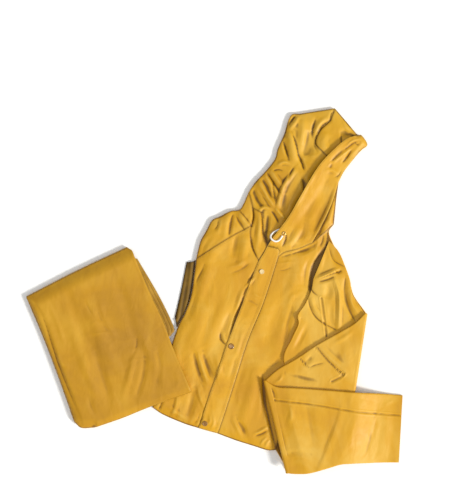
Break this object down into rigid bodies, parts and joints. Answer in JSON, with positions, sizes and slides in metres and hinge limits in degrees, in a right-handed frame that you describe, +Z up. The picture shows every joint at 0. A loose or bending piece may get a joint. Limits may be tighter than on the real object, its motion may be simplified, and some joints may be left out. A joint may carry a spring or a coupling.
{
  "type": "rain suit",
  "caption": "Two-piece rain suit laid out flat: hooded jacket whose front flap closes with snaps, one sleeve folded across it, and trousers folded into a packet beside it.",
  "frame": {"origin": "on the surface that the suit lies on, under the middle of its whole outline", "axes": "+Z up from the surface, +Y towards the hood, +X towards the folded left sleeve, away from the trousers"},
  "size_m": [0.9766, 0.9443, 0.0387],
  "materials": {
    "cloth": "smooth coated cloth with a soft sheen, golden yellow",
    "cloth_trousers": "smooth coated cloth with a soft sheen, deeper yellow",
    "cloth_inside": "matt inner face of the coated cloth",
    "snap_brown": "brown painted snap cap",
    "snap_cream": "cream painted snap cap",
    "eyelet_brass": "rolled brass",
    "cord_white": "braided white cord"
  },
  "bodies": {
    "root": {"front_right": "cloth", "front_left": "cloth", "storm_flap": "cloth", "shoulder_right": "cloth", "collar_right": "cloth", "collar_back": "cloth", "hood_right": "cloth_inside", "hood_crown": "cloth_inside", "hood_left": "cloth", "sleeve_right": "cloth_inside", "sleeve_left": "cloth", "jacket_folded_layers": "cloth", "snap_1": "snap_cream", "snap_2": "snap_brown", "snap_3": "snap_brown", "eyelet": "eyelet_brass", "drawstring": "cord_white", "trousers_leg_top": "cloth_trousers", "trousers_edge_1": "cloth_trousers", "trousers_edge_2": "cloth_trousers", "trousers_edge_3": "cloth_trousers", "trousers_folded_layers": "cloth_trousers"}
  },
  "joints": []
}
